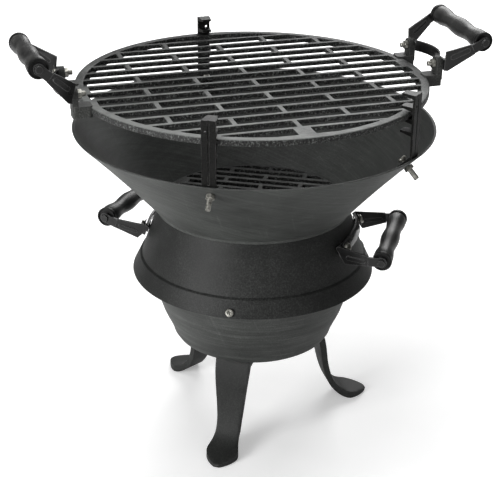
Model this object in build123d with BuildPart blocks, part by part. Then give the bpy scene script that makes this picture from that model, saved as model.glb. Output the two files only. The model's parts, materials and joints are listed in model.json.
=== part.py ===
"""Portable cast-iron charcoal grill, 35 cm: millimetres, +Z up, origin on the floor at the centre."""
import os
from math import atan2, cos, degrees, radians, sin, sqrt, tan

from build123d import *

# Heights and radii of the cast shells
BOWL_RIM_RADIUS = 182.5
BOWL_RIM_HEIGHT = 328.8
BOWL_RIM_WALL = 3.0
BOWL_FOOT_RADIUS = 104.0
BOWL_FOOT_HEIGHT = 244.9
BOWL_FLARE = 1.6
SEAT_HEIGHT = 240.4
SEAT_OUTER_RADIUS = 96.9
SEAT_INNER_RADIUS = 92.3
SPIGOT_WALL = 1.8
SPIGOT_DEPTH = 4.0

COLLAR_TOP_HEIGHT = 238.4
COLLAR_TOP_RADIUS = 98.0
COLLAR_GROOVE_HEIGHT = 188.5
COLLAR_GROOVE_RADIUS = 116.0
COLLAR_LIP_HEIGHT = 170.0
COLLAR_LIP_RADIUS = 126.0
COLLAR_WALL = 3.5

ASH_RIM_HEIGHT = 187.0
ASH_RIM_RADIUS = 114.0
ASH_SHOULDER_HEIGHT = 128.0
ASH_SHOULDER_RADIUS = 95.0
ASH_EDGE_HEIGHT = 107.0
ASH_EDGE_RADIUS = 85.5
ASH_BOTTOM_HEIGHT = 92.5
ASH_FLAT_RADIUS = 69.0
ASH_WALL = 3.0

# Legs
LEG_ANGLES = {"front": -123.2, "right": -3.2, "back": 116.8}
LEG_THICKNESS = 6.5
LEG_TOP_WIDTH = 37.0
LEG_ANKLE_WIDTH = 25.0
FOOT_WIDTH = 33.0
FOOT_TIP_RADIUS = 132.0
LEG_PAD_BOLT_RADIUS = 58.0

# Collar screws
SCREW_ANGLES = (-118.0, 2.0, 122.0)
SCREW_HEIGHT = 175.5

# Height posts
POST_ANGLES = {"front": -120.6, "right": -50.0, "back": 91.0}
POST_FACE_RADIUS = 179.0
POST_PLATE = 2.5
POST_WIDTH = 13.4
POST_TOP_HEIGHT = 390.5
TOOTH_PITCH = 12.0
TOOTH_COUNT = 4
TOOTH_TIP_RADIUS = 164.0
TOOTH_TIP_WIDTH = 9.0
POST_BOLT_HEIGHT = 318.0

# Cooking grate
GRATE_RADIUS = 174.8
GRATE_TOP_HEIGHT = 372.7
GRATE_REST_HEIGHT = 366.5
GRATE_RIM = 8.5
GRATE_PITCH = 20.78
GRATE_ROWS = 16
GRATE_SLOT = 16.0
GRATE_BRIDGE = 5.0
GRATE_BRIDGE_SPACING = 109.0
GRATE_FRONT_BRIDGE = 17.0
GRATE_BAR_DEPTH = 4.2
GRATE_SLOT_CORNER = 2.0
GRATE_PLACE = Location((-2.2, 1.2, 0))

# Charcoal grate
COALS_TOP_RADIUS = 99.4
COALS_BOTTOM_RADIUS = 96.0
COALS_THICKNESS = 4.0
COALS_PITCH = 13.5
COALS_ROWS = 14
COALS_SLOT = 8.0
COALS_BRIDGE = 5.0
COALS_BRIDGE_SPACING = 80.0
COALS_ANGLE = -30.0

# Handles, in their own frame: u outward, v along the grip, w up
EAR_SPACING = 68.0
EAR_HALF_HEIGHT = 5.5
EAR_INNER = 28.5
STRAP_BOW = 8.5
SHEET = 2.0
ARM_ROOT = 43.2
ARM_TWIST = 3.0
ARM_ROOT_TOP = 14.0
ARM_ROOT_BOTTOM = -5.5
GRIP_OUT = 37.0
GRIP_UP = 24.5
TONGUE_HALF_WIDTH = 4.75
TONGUE_FACE = 51.3
GRIP_HALF_LENGTH = 46.0
GRIP_END_RADIUS = 9.7
GRIP_WAIST_RADIUS = 8.1
GRIP_MIDDLE_RADIUS = 9.5
CAP_LENGTH = 4.6
CAP_RADIUS = 9.9
ROD_RADIUS = 3.0
ROD_PLAY = 0.06
LUG_FACE = 187.0
LUG_BOLT_HEIGHT = 384.5
COLLAR_EAR_INSET = 6.7
SPACER_HEIGHT = 2.2
WASHER_HEIGHT = 1.2
COLLAR_HANDLES = {"right": (-32.0, 216.5), "left": (141.0, 209.5)}
ARM_TURNS = {
    "grate": {"right": 0.0, "left": 10.0},
    "collar": {"right": -13.5, "left": -24.0},
}

# Fastener sizes
M5 = {"radius": 2.5, "nut": 8.0, "nut_height": 4.0, "head": 4.6, "head_height": 3.0}
M6 = {"radius": 3.0, "nut": 10.0, "nut_height": 5.0, "head": 5.6, "head_height": 3.6}

os.makedirs("parts", exist_ok=True)


def save(piece, name):
    """Label a finished piece and write it under its own name."""
    piece.part.label = name
    export_step(piece.part, f"parts/{name}.step")
    print(name, len(piece.part.solids()), round(piece.part.volume))


def around(angle):
    """The frame turned by an angle about the vertical axis."""
    return Location((0, 0, 0), (0, 0, angle))


def placed(piece, *places):
    """A group of copies of one piece, one at each place."""
    with BuildPart() as group:
        with Locations(*places):
            add(piece.part)
    return group


def turned(points):
    """A solid of revolution about the vertical axis from (radius, height) points."""
    with BuildPart() as shell:
        with BuildSketch(Plane.XZ):
            with BuildLine():
                Polyline(*points, close=True)
            make_face()
        revolve(axis=Axis.Z)
    return shell


# Fasteners, each along +Z with the clamped face at the origin


def pan_bolt(size, length):
    """A cross-recess pan-head bolt: head above the origin, shank below."""
    with BuildPart() as bolt:
        with BuildSketch(Plane.XY):
            Circle(size["head"])
        extrude(amount=size["head_height"])
        fillet(bolt.faces().sort_by(Axis.Z)[-1].edges(), size["head_height"] * 0.55)
        with BuildSketch(Plane.XY.offset(size["head_height"])):
            Rectangle(size["head"], 1.1)
            Rectangle(1.1, size["head"])
        extrude(amount=-size["head_height"] * 0.5, mode=Mode.SUBTRACT)
        with BuildSketch(Plane.XY):
            Circle(size["radius"])
        extrude(amount=-length)
        chamfer(bolt.faces().sort_by(Axis.Z)[0].edges(), 0.5)
    return bolt


def hex_nut(size):
    """A hexagon nut standing on the origin, with its corners turned off."""
    across_corners = size["nut"] / cos(radians(30))
    with BuildPart() as nut:
        with BuildSketch(Plane.XY):
            RegularPolygon(across_corners / 2, 6)
            Circle(size["radius"], mode=Mode.SUBTRACT)
        extrude(amount=size["nut_height"])
        with BuildSketch(Plane.XZ):
            with BuildLine():
                Polyline(
                    (0, 0),
                    (size["nut"] / 2, 0),
                    (across_corners / 2, 0.5),
                    (across_corners / 2, size["nut_height"] - 0.5),
                    (size["nut"] / 2, size["nut_height"]),
                    (0, size["nut_height"]),
                    close=True,
                )
            make_face()
        revolve(axis=Axis.Z, mode=Mode.INTERSECT)
    return nut


def washer(inner, outer, thickness):
    """A flat washer standing on the origin."""
    with BuildPart() as ring:
        with BuildSketch(Plane.XY):
            Circle(outer)
            Circle(inner, mode=Mode.SUBTRACT)
        extrude(amount=thickness)
    return ring


# Fire bowl: a plain cone, open below, with a seat for the charcoal grate


COLLAR_LEAN = degrees(
    atan2(COLLAR_GROOVE_RADIUS - COLLAR_TOP_RADIUS, COLLAR_TOP_HEIGHT - COLLAR_GROOVE_HEIGHT)
)


def flared(low, high, height):
    """Radius at a height on a wall that flares slightly between two (radius, height) points."""
    share = (height - low[1]) / (high[1] - low[1])
    return low[0] + (high[0] - low[0]) * share - 4 * BOWL_FLARE * share * (1 - share)


bowl_foot_edge = (BOWL_FOOT_RADIUS, BOWL_FOOT_HEIGHT)
bowl_rim_edge = (BOWL_RIM_RADIUS, BOWL_RIM_HEIGHT)
bowl_seat_edge = (SEAT_OUTER_RADIUS, SEAT_HEIGHT)
bowl_mouth_edge = (BOWL_RIM_RADIUS - BOWL_RIM_WALL, BOWL_RIM_HEIGHT)


def bowl_outside(height):
    """Radius of the fire bowl's outer face at a height."""
    return flared(bowl_foot_edge, bowl_rim_edge, height)


def bowl_inside(height):
    """Radius of the fire bowl's inner face at a height."""
    return flared(bowl_seat_edge, bowl_mouth_edge, height)


BOWL_LEAN = degrees(atan2(bowl_outside(POST_BOLT_HEIGHT + 5) - bowl_outside(POST_BOLT_HEIGHT - 5), 10))


def post_bolt_place(angle, lift=0.0):
    """The frame of a post bolt: +Z points out of the cone, square to its outer face."""
    outward = Vector(cos(radians(angle)), sin(radians(angle)), 0)
    normal = outward * cos(radians(BOWL_LEAN)) - Vector(0, 0, sin(radians(BOWL_LEAN)))
    start = outward * bowl_outside(POST_BOLT_HEIGHT) + Vector(0, 0, POST_BOLT_HEIGHT) + normal * lift
    return Plane(origin=start, z_dir=normal).location


bowl_middle = (BOWL_RIM_HEIGHT + BOWL_FOOT_HEIGHT) / 2
inner_middle = (BOWL_RIM_HEIGHT + SEAT_HEIGHT) / 2
with BuildPart() as fire_bowl:
    with BuildSketch(Plane.XZ):
        with BuildLine():
            ThreePointArc(bowl_rim_edge, (bowl_outside(bowl_middle), bowl_middle), bowl_foot_edge)
            Polyline(
                bowl_foot_edge,
                (COLLAR_TOP_RADIUS + 2.3, SEAT_HEIGHT + 0.8),
                (COLLAR_TOP_RADIUS + 2.3, COLLAR_TOP_HEIGHT),
                (SEAT_INNER_RADIUS + SPIGOT_WALL, COLLAR_TOP_HEIGHT),
                (SEAT_INNER_RADIUS + SPIGOT_WALL, COLLAR_TOP_HEIGHT - SPIGOT_DEPTH),
                (SEAT_INNER_RADIUS, COLLAR_TOP_HEIGHT - SPIGOT_DEPTH),
                (SEAT_INNER_RADIUS, SEAT_HEIGHT),
                bowl_seat_edge,
            )
            ThreePointArc(bowl_seat_edge, (bowl_inside(inner_middle), inner_middle), bowl_mouth_edge)
            Line(bowl_mouth_edge, bowl_rim_edge)
        make_face()
    revolve(axis=Axis.Z)
bolt_clearance = Cylinder(M5["radius"] + 0.2, 30)
with BuildPart() as drilled_bowl:
    add(fire_bowl.part)
    with Locations(*[post_bolt_place(angle) for angle in POST_ANGLES.values()]):
        add(bolt_clearance, mode=Mode.SUBTRACT)
save(drilled_bowl, "fire_bowl")


# Slotted grates


def slot_runs(row_y, inner_radius, slot, bridge, bridges):
    """The start and end of every slot in a row, between the bridges and the rim."""
    reach = inner_radius**2 - (abs(row_y) + slot / 2) ** 2
    if reach <= 0:
        return []
    edge = sqrt(reach)
    stops = sorted(x for x in bridges if abs(x) < edge)
    starts = [-edge] + [x + bridge / 2 for x in stops]
    ends = [x - bridge / 2 for x in stops] + [edge]
    return [(a, b) for a, b in zip(starts, ends) if b - a > slot * 1.6]


def row_bridges(row, spacing):
    """Bridges stand in brick fashion: on the half spacing in odd rows, on the centre in even ones."""
    offset = spacing / 2 if row % 2 else 0
    return [offset + spacing * step for step in range(-3, 3)]


# Charcoal grate: lies in the cone on the seat
with BuildPart() as charcoal_grate:
    with BuildSketch(Plane.XZ):
        with BuildLine():
            Polyline(
                (0, SEAT_HEIGHT),
                (COALS_BOTTOM_RADIUS, SEAT_HEIGHT),
                (COALS_TOP_RADIUS, SEAT_HEIGHT + COALS_THICKNESS),
                (0, SEAT_HEIGHT + COALS_THICKNESS),
                close=True,
            )
        make_face()
    revolve(axis=Axis.Z)
    with BuildSketch(Plane.XY.offset(SEAT_HEIGHT - 1.2)):
        Circle(SEAT_INNER_RADIUS - 2)
    extrude(amount=2)
    with BuildSketch(Plane.XY.offset(SEAT_HEIGHT - 5)):
        for row in range(COALS_ROWS):
            row_y = ((COALS_ROWS - 1) / 2 - row) * COALS_PITCH
            bridges = row_bridges(row, COALS_BRIDGE_SPACING)
            for start, end in slot_runs(row_y, COALS_BOTTOM_RADIUS - 2, COALS_SLOT, COALS_BRIDGE, bridges):
                with Locations(((start + end) / 2, row_y)):
                    SlotOverall(end - start, COALS_SLOT)
    extrude(amount=12, mode=Mode.SUBTRACT)
save(placed(charcoal_grate, around(COALS_ANGLE)), "charcoal_grate")

# Cooking grate: a deep rim around thin bars, which let the heat and the light through
with BuildPart() as cooking_grate:
    with BuildSketch(Plane.XY.offset(GRATE_REST_HEIGHT)):
        Circle(GRATE_RADIUS)
    extrude(amount=GRATE_TOP_HEIGHT - GRATE_REST_HEIGHT)
    with BuildSketch(Plane.XY.offset(GRATE_REST_HEIGHT)):
        Circle(TOOTH_TIP_RADIUS - 1)
    extrude(amount=GRATE_TOP_HEIGHT - GRATE_BAR_DEPTH - GRATE_REST_HEIGHT, mode=Mode.SUBTRACT)
    with BuildSketch(Plane.XY.offset(GRATE_REST_HEIGHT - 1)):
        for row in range(GRATE_ROWS):
            row_y = ((GRATE_ROWS - 1) / 2 - row) * GRATE_PITCH
            bridges = [] if row == 0 else row_bridges(row, GRATE_BRIDGE_SPACING)
            bridge = GRATE_BRIDGE
            if row == GRATE_ROWS - 1:
                bridges = [0]
                bridge = GRATE_FRONT_BRIDGE
            wide_edge = sqrt((GRATE_RADIUS - GRATE_RIM) ** 2 - (abs(row_y) - GRATE_SLOT / 2) ** 2)
            stops = sorted(x for x in bridges if abs(x) + bridge / 2 + 9 < wide_edge)
            starts = [-wide_edge] + [x + bridge / 2 for x in stops]
            ends = [x - bridge / 2 for x in stops] + [wide_edge]
            for start, end in zip(starts, ends):
                with Locations(((start + end) / 2, row_y)):
                    Rectangle(end - start, GRATE_SLOT)
        Circle(GRATE_RADIUS - GRATE_RIM, mode=Mode.INTERSECT)
        offset(amount=-GRATE_SLOT_CORNER, kind=Kind.INTERSECTION, mode=Mode.REPLACE)
        offset(amount=GRATE_SLOT_CORNER, kind=Kind.ARC, mode=Mode.REPLACE)
    extrude(amount=GRATE_TOP_HEIGHT - GRATE_REST_HEIGHT + 2, mode=Mode.SUBTRACT)
save(placed(cooking_grate, GRATE_PLACE), "cooking_grate")

# Lugs: cast onto the rim at each side, with an upright tab for a handle bolt
with BuildPart() as lugs:
    for side in (-1, 1):
        for end in (-1, 1):
            lug_y = end * EAR_SPACING / 2
            with BuildSketch(Plane.XY.offset(GRATE_REST_HEIGHT - 4)):
                with Locations((side * (LUG_FACE - 9.5), lug_y)):
                    RectangleRounded(19, 15, 3)
            extrude(amount=GRATE_TOP_HEIGHT - GRATE_REST_HEIGHT + 5.5)
            with BuildSketch(Plane.YZ.offset(side * LUG_FACE)):
                with Locations((lug_y, LUG_BOLT_HEIGHT)):
                    Circle(6.8)
                with Locations((lug_y, (LUG_BOLT_HEIGHT + GRATE_TOP_HEIGHT) / 2 - 2)):
                    Rectangle(13.6, LUG_BOLT_HEIGHT - GRATE_TOP_HEIGHT + 4)
            extrude(amount=-side * 6)
            with BuildSketch(Plane.YZ.offset(side * LUG_FACE)):
                with Locations((lug_y, LUG_BOLT_HEIGHT)):
                    Circle(M5["radius"] + 0.15)
            extrude(amount=-side * 8, mode=Mode.SUBTRACT)
    with BuildSketch(Plane.XY.offset(GRATE_REST_HEIGHT)):
        Circle(GRATE_RADIUS)
    extrude(amount=GRATE_TOP_HEIGHT - GRATE_REST_HEIGHT, mode=Mode.SUBTRACT)
save(placed(lugs, GRATE_PLACE), "grate_handle_lugs")

# Height posts: a toothed casting inside the bowl's rim, with a foot bolted to the cone


def post_side_profile():
    """Radial section of the post: plate, teeth and the foot along the cone."""
    inner_face = POST_FACE_RADIUS - POST_PLATE
    foot_top = BOWL_RIM_HEIGHT - 0.6
    foot_end = POST_BOLT_HEIGHT - 10
    gap = 0.4
    thickness_in = 3.2 * cos(radians(BOWL_LEAN))
    thickness_up = 3.2 * sin(radians(BOWL_LEAN))
    points = [(POST_FACE_RADIUS, POST_TOP_HEIGHT)]
    for tooth in range(TOOTH_COUNT):
        top = POST_TOP_HEIGHT - tooth * TOOTH_PITCH
        if tooth:
            points.append((inner_face, top))
        points += [(TOOTH_TIP_RADIUS, top), (TOOTH_TIP_RADIUS, top - 2.2), (inner_face, top - 4.2)]
    points += [
        (inner_face, foot_top + 2),
        (bowl_inside(foot_end) - gap - thickness_in, foot_end + thickness_up),
        (bowl_inside(foot_end) - gap, foot_end),
        (bowl_inside(foot_top) - gap, foot_top),
    ]
    return points


with BuildPart() as post:
    with BuildSketch(Plane.XZ):
        with BuildLine():
            Polyline(*post_side_profile(), close=True)
        make_face()
    extrude(amount=POST_WIDTH / 2, both=True)
    with BuildSketch(Plane.XY.offset(BOWL_RIM_HEIGHT + 3)):
        for side in (-1, 1):
            with BuildLine():
                Polyline(
                    (POST_FACE_RADIUS - POST_PLATE, side * POST_WIDTH / 2),
                    (TOOTH_TIP_RADIUS - 1, side * TOOTH_TIP_WIDTH / 2),
                    (TOOTH_TIP_RADIUS - 1, side * POST_WIDTH),
                    (POST_FACE_RADIUS - POST_PLATE, side * POST_WIDTH),
                    close=True,
                )
            make_face()
    extrude(amount=POST_TOP_HEIGHT - BOWL_RIM_HEIGHT, mode=Mode.SUBTRACT)
    with BuildSketch(Plane.XY.offset(POST_TOP_HEIGHT + 1)):
        with Locations((POST_FACE_RADIUS, 0)):
            Circle(0.9, arc_size=360)
    extrude(amount=-(POST_TOP_HEIGHT - BOWL_RIM_HEIGHT), mode=Mode.SUBTRACT)
    with BuildSketch(Plane.YZ.offset(POST_FACE_RADIUS)):
        with Locations((-2.9, POST_TOP_HEIGHT - 11)):
            Circle(1.4)
    extrude(amount=-POST_PLATE - 1, mode=Mode.SUBTRACT)
    with Locations(post_bolt_place(0)):
        add(bolt_clearance, mode=Mode.SUBTRACT)
for side, angle in POST_ANGLES.items():
    save(placed(post, around(angle)), f"support_post_{side}")

post_bolt = pan_bolt(M5, 22.5)
post_bolt_flip = Location((0, 0, 0), (180, 0, 0))
post_nut = hex_nut(M5)
foot_face = -7.2
bolts_from_inside = [
    post_bolt_place(angle, foot_face) * post_bolt_flip for angle in POST_ANGLES.values()
]
save(placed(post_bolt, *bolts_from_inside), "post_bolts")
save(placed(post_nut, *[post_bolt_place(angle, 0.2) for angle in POST_ANGLES.values()]), "post_nuts")

# Collar: carries the fire bowl and hides the joint with the ash bowl


def collar_outside(height):
    """Radius of the collar's outer face above its groove."""
    return COLLAR_TOP_RADIUS + (COLLAR_TOP_HEIGHT - height) * tan(radians(COLLAR_LEAN))


collar = turned(
    [
        (COLLAR_TOP_RADIUS, COLLAR_TOP_HEIGHT),
        (COLLAR_TOP_RADIUS - COLLAR_WALL, COLLAR_TOP_HEIGHT),
        (COLLAR_GROOVE_RADIUS - COLLAR_WALL - 1.8, ASH_RIM_HEIGHT + 4),
        (COLLAR_GROOVE_RADIUS - COLLAR_WALL - 1.8, ASH_RIM_HEIGHT),
        (ASH_RIM_RADIUS + 0.6, ASH_RIM_HEIGHT),
        (COLLAR_LIP_RADIUS - 3.4, COLLAR_LIP_HEIGHT),
        (COLLAR_LIP_RADIUS, COLLAR_LIP_HEIGHT),
        (COLLAR_GROOVE_RADIUS + 1.8, COLLAR_GROOVE_HEIGHT - 1.5),
        (COLLAR_GROOVE_RADIUS - 0.4, COLLAR_GROOVE_HEIGHT),
    ]
)
band_lean = degrees(
    atan2(
        COLLAR_LIP_RADIUS - COLLAR_GROOVE_RADIUS - 1.8,
        COLLAR_GROOVE_HEIGHT - 1.5 - COLLAR_LIP_HEIGHT,
    )
)
screw_radius = COLLAR_LIP_RADIUS - (SCREW_HEIGHT - COLLAR_LIP_HEIGHT) * tan(radians(band_lean))


def screw_place(angle):
    """The frame of a collar screw: +Z points out of the band."""
    outward = Vector(cos(radians(angle)), sin(radians(angle)), 0)
    normal = outward * cos(radians(band_lean)) + Vector(0, 0, sin(radians(band_lean)))
    return Plane(origin=outward * screw_radius + Vector(0, 0, SCREW_HEIGHT), z_dir=normal).location


def ear_face(height):
    """How far from the axis the plane of a collar handle's ears stands."""
    return collar_outside(height) - COLLAR_EAR_INSET


def collar_bolt_place(centre, height, side):
    """The frame of a collar handle bolt: +Z points out of the wall."""
    angle = radians(centre) + side * atan2(EAR_SPACING / 2, ear_face(height) + 0.4)
    outward = Vector(cos(angle), sin(angle), 0)
    normal = outward * cos(radians(COLLAR_LEAN)) + Vector(0, 0, sin(radians(COLLAR_LEAN)))
    start = outward * collar_outside(height) + Vector(0, 0, height)
    return Plane(origin=start, z_dir=normal).location


collar_bolt_places = [
    collar_bolt_place(centre, height, side)
    for centre, height in COLLAR_HANDLES.values()
    for side in (-1, 1)
]
handle_bolt_hole = Cylinder(M5["radius"] + 0.15, 20)
screw_hole = Cylinder(2.0, 16)
with BuildPart() as drilled_collar:
    add(collar.part)
    with Locations(*collar_bolt_places):
        add(handle_bolt_hole, mode=Mode.SUBTRACT)
    with Locations(*[screw_place(angle) for angle in SCREW_ANGLES]):
        add(screw_hole, mode=Mode.SUBTRACT)
save(drilled_collar, "collar")

# Ash bowl: the round pan that the legs carry


def ash_profile(inset):
    """Lines and arcs of the ash bowl's section, moved inwards by an inset."""
    rim = (ASH_RIM_RADIUS - inset, ASH_RIM_HEIGHT)
    shoulder = (ASH_SHOULDER_RADIUS - inset, ASH_SHOULDER_HEIGHT)
    edge = (ASH_EDGE_RADIUS - inset * 0.95, ASH_EDGE_HEIGHT + inset * 0.2)
    middle = ((shoulder[0] + edge[0]) / 2 + 0.8, (shoulder[1] + edge[1]) / 2)
    flat = (ASH_FLAT_RADIUS - inset * 0.3, ASH_BOTTOM_HEIGHT + inset)
    low = (ASH_EDGE_RADIUS - 4.3 - inset * 0.75, ASH_BOTTOM_HEIGHT + 5.0 + inset * 0.62)
    return rim, shoulder, middle, edge, low, flat


with BuildPart() as ash_bowl:
    for inset, mode in ((0, Mode.ADD), (ASH_WALL, Mode.SUBTRACT)):
        rim, shoulder, middle, edge, low, flat = ash_profile(inset)
        with BuildSketch(Plane.XZ):
            with BuildLine():
                Line((0, ASH_RIM_HEIGHT), rim)
                Line(rim, shoulder)
                ThreePointArc(shoulder, middle, edge)
                ThreePointArc(edge, low, flat)
                Line(flat, (0, flat[1]))
                Line((0, flat[1]), (0, ASH_RIM_HEIGHT))
            make_face()
        revolve(axis=Axis.Z, mode=mode)
screw_boss = Cylinder(5.5, 12)
leg_bolt_hole = Cylinder(M6["radius"] + 0.2, 20)
leg_bolt_places = [
    around(angle) * Location((LEG_PAD_BOLT_RADIUS, 0, ASH_BOTTOM_HEIGHT)) for angle in LEG_ANGLES.values()
]
with BuildPart() as drilled_ash_bowl:
    add(ash_bowl.part)
    with Locations(*[screw_place(angle) * Location((0, 0, -10.1)) for angle in SCREW_ANGLES]):
        add(screw_boss)
    with Locations(*[screw_place(angle) for angle in SCREW_ANGLES]):
        add(screw_hole, mode=Mode.SUBTRACT)
    with Locations(*leg_bolt_places):
        add(leg_bolt_hole, mode=Mode.SUBTRACT)
save(drilled_ash_bowl, "ash_bowl")
collar_screw = pan_bolt({"radius": 1.9, "head": 4.2, "head_height": 2.6}, 8)
save(placed(collar_screw, *[screw_place(angle) for angle in SCREW_ANGLES]), "collar_screws")

# Legs: flat cast straps with a bolted pad above and a pointed leaf for a foot


def leg_section():
    """Side view of the leg in its radial plane, outer line down and inner line back."""
    pad_top = ASH_BOTTOM_HEIGHT - 0.05
    with BuildLine() as outline:
        Line((LEG_PAD_BOLT_RADIUS - 10, pad_top), (ASH_FLAT_RADIUS + 3, pad_top))
        Spline(
            (ASH_FLAT_RADIUS + 3, pad_top),
            (79.5, 70),
            (82.5, 51),
            (86.3, 35),
            (91.5, 22.0),
            (99.5, 12.8),
            (112, 7.6),
            (FOOT_TIP_RADIUS - 1, 3.6),
        )
        Line((FOOT_TIP_RADIUS - 1, 3.6), (FOOT_TIP_RADIUS, 2.0))
        Line((FOOT_TIP_RADIUS, 2.0), (FOOT_TIP_RADIUS - 1, 0))
        Line((FOOT_TIP_RADIUS - 1, 0), (110, 0))
        Spline(
            (110, 0),
            (102, 2.2),
            (93.5, 8.6),
            (85.6, 19.6),
            (79.9, 34),
            (76.0, 50),
            (72.5, 70),
            (68.0, pad_top - LEG_THICKNESS),
        )
        Line((68.0, pad_top - LEG_THICKNESS), (LEG_PAD_BOLT_RADIUS - 10, pad_top - LEG_THICKNESS))
        Line(
            (LEG_PAD_BOLT_RADIUS - 10, pad_top - LEG_THICKNESS),
            (LEG_PAD_BOLT_RADIUS - 10, pad_top),
        )
    return outline


leg_line = leg_section()
leaf_edge = [
    (82, LEG_ANKLE_WIDTH / 2 + 2.2),
    (94, LEG_ANKLE_WIDTH / 2 + 0.1),
    (103, LEG_ANKLE_WIDTH / 2 + 2.6),
    (111, FOOT_WIDTH / 2),
    (121, 12.6),
    (129, 5.6),
    (FOOT_TIP_RADIUS, 1.5),
]
other_edge = [(radius, -width) for radius, width in leaf_edge]
with BuildPart() as leg:
    with BuildSketch(Plane.XZ):
        add(leg_line.line)
        make_face()
    extrude(amount=30, both=True)
    with BuildSketch(Plane.YZ.offset(LEG_PAD_BOLT_RADIUS - 20)) as front_view:
        with BuildLine():
            Polyline(
                (-LEG_TOP_WIDTH / 2, ASH_BOTTOM_HEIGHT + 1),
                (LEG_TOP_WIDTH / 2, ASH_BOTTOM_HEIGHT + 1),
                (LEG_TOP_WIDTH / 2 - 0.8, 80),
                (14.8, 51),
                (LEG_ANKLE_WIDTH / 2 + 0.4, 28),
                (LEG_ANKLE_WIDTH / 2 + 0.1, 18),
                (FOOT_WIDTH / 2 + 3, 10),
                (FOOT_WIDTH / 2 + 3, -1),
                (-FOOT_WIDTH / 2 - 3, -1),
                (-FOOT_WIDTH / 2 - 3, 10),
                (-LEG_ANKLE_WIDTH / 2 - 0.1, 18),
                (-LEG_ANKLE_WIDTH / 2 - 0.4, 28),
                (-14.8, 51),
                (-LEG_TOP_WIDTH / 2 + 0.8, 80),
                close=True,
            )
        make_face()
    extrude(amount=120, mode=Mode.INTERSECT)
    with BuildSketch(Plane.XY.offset(-1)):
        with BuildLine():
            Line((40, -25), (40, 25))
            Line((40, 25), (76, 25))
            Line((76, 25), leaf_edge[0])
            Spline(*leaf_edge)
            Line(leaf_edge[-1], other_edge[-1])
            Spline(*other_edge)
            Line(other_edge[0], (76, -25))
            Line((76, -25), (40, -25))
        make_face()
    extrude(amount=100, mode=Mode.INTERSECT)
    with Locations((LEG_PAD_BOLT_RADIUS, 0, ASH_BOTTOM_HEIGHT)):
        add(leg_bolt_hole, mode=Mode.SUBTRACT)
for side, angle in LEG_ANGLES.items():
    save(placed(leg, around(angle)), f"leg_{side}")

leg_bolt = pan_bolt(M6, 17)
on_bowl_floor = Location((0, 0, ASH_WALL))
under_pad = Location((0, 0, -LEG_THICKNESS - 0.1), (180, 0, 0))
save(placed(leg_bolt, *[place * on_bowl_floor for place in leg_bolt_places]), "leg_bolts")
save(placed(hex_nut(M6), *[place * under_pad for place in leg_bolt_places]), "leg_nuts")

# Handles: one pressed bracket, one rod, one turned grip and two end caps, used four times

arm_splay = degrees(atan2(TONGUE_FACE - ARM_ROOT, GRIP_OUT - 10))
grip_rise = degrees(atan2(GRIP_UP - (ARM_ROOT_TOP + ARM_ROOT_BOTTOM) / 2, GRIP_OUT))
tongue_start = GRIP_OUT - 11.5
arm_length = tongue_start / cos(radians(arm_splay)) + 0.4
neck_up = GRIP_UP - 11.5 * tan(radians(grip_rise))


def arm_plane(side):
    """The plane of one arm: x along the arm in plan, y up."""
    along = Vector(cos(radians(arm_splay)), side * sin(radians(arm_splay)), 0)
    return Plane(origin=(0, side * ARM_ROOT, 0), x_dir=along, z_dir=along.cross(Vector(0, 0, 1)))


def arched_strap(flat_ears):
    """The strap between the bolts: an arch with flat ears, or one arc that follows the collar."""
    arch_end = EAR_INNER if flat_ears else ARM_ROOT
    with BuildPart() as strap:
        with BuildSketch(Plane.XY.offset(-EAR_HALF_HEIGHT)):
            with BuildLine():
                ThreePointArc((SHEET, -arch_end), (STRAP_BOW + SHEET, 0), (SHEET, arch_end))
                Line((SHEET, arch_end), (0, arch_end))
                ThreePointArc((0, arch_end), (STRAP_BOW, 0), (0, -arch_end))
                Line((0, -arch_end), (SHEET, -arch_end))
            make_face()
            for side in (-1, 1):
                with Locations((SHEET / 2, side * (arch_end + ARM_ROOT + SHEET) / 2)):
                    Rectangle(SHEET, ARM_ROOT + SHEET - arch_end + 0.4)
        extrude(amount=2 * EAR_HALF_HEIGHT)
    return strap


def arm(side):
    """One arm of the bracket: a beaded plate, bent parallel to its twin at the tongue."""
    neck_in = 5.3 * sin(radians(grip_rise))
    neck_half = 5.3 * cos(radians(grip_rise))
    with BuildPart() as pressing:
        with BuildSketch(arm_plane(side)):
            with BuildLine():
                Polyline(
                    (0.2, ARM_ROOT_BOTTOM),
                    (0.2, ARM_ROOT_TOP),
                    (arm_length - neck_in, neck_up + neck_half),
                    (arm_length + neck_in, neck_up - neck_half),
                    (4, ARM_ROOT_BOTTOM),
                    close=True,
                )
            make_face()
        extrude(amount=-side * SHEET)
        middle = arm_length * 0.55
        bead_up = (ARM_ROOT_TOP + ARM_ROOT_BOTTOM) / 2 + middle * tan(radians(grip_rise)) + 0.3
        bead_place = Location((middle, bead_up, 0), (0, 0, grip_rise))
        with BuildSketch(arm_plane(side).offset(-side * SHEET)):
            with Locations(bead_place):
                SlotOverall(21, 5)
        extrude(amount=-side * 0.9, taper=20)
        with BuildSketch(arm_plane(side)):
            with Locations(bead_place):
                SlotOverall(19.4, 3.4)
        extrude(amount=-side * 0.9, mode=Mode.SUBTRACT)
        tongue_middle = Location(
            (GRIP_OUT - 6, GRIP_UP - 6 * tan(radians(grip_rise)), 0), (0, 0, grip_rise)
        )
        with BuildSketch(Plane.XZ.offset(-side * TONGUE_FACE)):
            with Locations((GRIP_OUT, GRIP_UP)):
                Circle(TONGUE_HALF_WIDTH + 0.6)
            with Locations(tongue_middle):
                Rectangle(13, TONGUE_HALF_WIDTH * 2)
        extrude(amount=-side * SHEET)
        with BuildSketch(Plane.XZ.offset(-side * (TONGUE_FACE - 2))):
            with Locations((GRIP_OUT, GRIP_UP)):
                Circle(ROD_RADIUS + 0.2)
        extrude(amount=-side * 8, mode=Mode.SUBTRACT)
    return pressing


bracket_arms = {side: arm(side) for side in (-1, 1)}


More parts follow.
